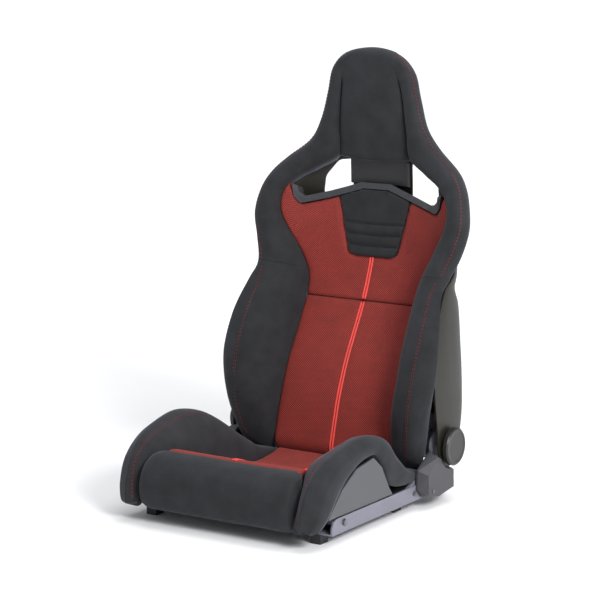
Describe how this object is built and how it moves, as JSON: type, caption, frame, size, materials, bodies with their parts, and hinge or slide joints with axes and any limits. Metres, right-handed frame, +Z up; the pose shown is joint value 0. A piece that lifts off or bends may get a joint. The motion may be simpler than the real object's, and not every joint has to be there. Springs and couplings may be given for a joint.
{
  "type": "reclining bucket seat",
  "caption": "Reclining sport bucket seat with deep padded bolsters, integral headrest, harness openings, steel side plates and a handwheel recliner.",
  "frame": {"origin": "centre of the four mounting holes, on the floor plane under the mounting blocks", "axes": "+Z up, the seat faces -Y, X runs across the seat"},
  "size_m": [0.564, 0.6848, 0.9626],
  "materials": {
    "black_suede": "matt knitted suede-like cloth",
    "red_mesh": "matt woven mesh, dark weft",
    "shell_black": "fine grained, satin",
    "trim_grey": "satin",
    "valance_grey": "fine grained, satin",
    "cover_grey": "satin",
    "wheel_grey": "satin",
    "block_black": "matt",
    "painted_steel": "satin powder coat",
    "bare_steel": "machined",
    "zinc_fasteners": "bright zinc"
  },
  "bodies": {
    "base": {"side_plate_left": "painted_steel", "side_plate_right": "painted_steel", "mount_blocks": "block_black", "front_cross_tube": "painted_steel", "rear_cross_tube": "painted_steel", "seat_pan": "block_black", "valance_left": "valance_grey", "valance_right": "valance_grey", "recliner_lower_arm_left": "painted_steel", "recliner_lower_arm_right": "painted_steel", "recliner_fixed_half_left": "bare_steel", "recliner_fixed_half_right": "bare_steel", "recliner_cover_left": "cover_grey", "recliner_cover_right": "cover_grey", "base_bolts": "zinc_fasteners", "cover_screws": "zinc_fasteners", "thigh_roll": "black_suede", "seat_centre": "red_mesh", "seat_bolster_left": "black_suede", "seat_bolster_right": "black_suede"},
    "backrest": {"back_shell": "shell_black", "belt_trim": "trim_grey", "spine_block": "block_black", "back_frame": "painted_steel", "back_springs": "bare_steel", "recliner_upper_arm_left": "painted_steel", "recliner_upper_arm_right": "painted_steel", "recliner_moving_half_left": "bare_steel", "recliner_moving_half_right": "bare_steel", "frame_bolts": "zinc_fasteners", "shell_screws": "block_black", "back_bolster_left": "black_suede", "back_bolster_right": "black_suede", "shoulder_surround": "black_suede", "head_pad": "black_suede", "upper_back_panel": "red_mesh", "lower_back_panel": "red_mesh", "shoulder_patch": "black_suede"},
    "handwheels": {"cross_shaft": "bare_steel", "handwheel_left": "wheel_grey", "handwheel_right": "wheel_grey"}
  },
  "joints": [
    {"name": "recline", "type": "hinge", "parent": "base", "child": "backrest", "pos_m": [0, 0.283, 0.121], "axis": [-1, 0, 0], "range_deg": [-10, 50]},
    {"name": "handwheel_turn", "type": "hinge", "parent": "backrest", "child": "handwheels", "pos_m": [0, 0.283, 0.121], "axis": [-1, 0, 0], "range_deg": [-360, 1800]}
  ],
  "couplings": [
    {"joint": "handwheel_turn", "follows": "recline", "ratio": 36}
  ]
}
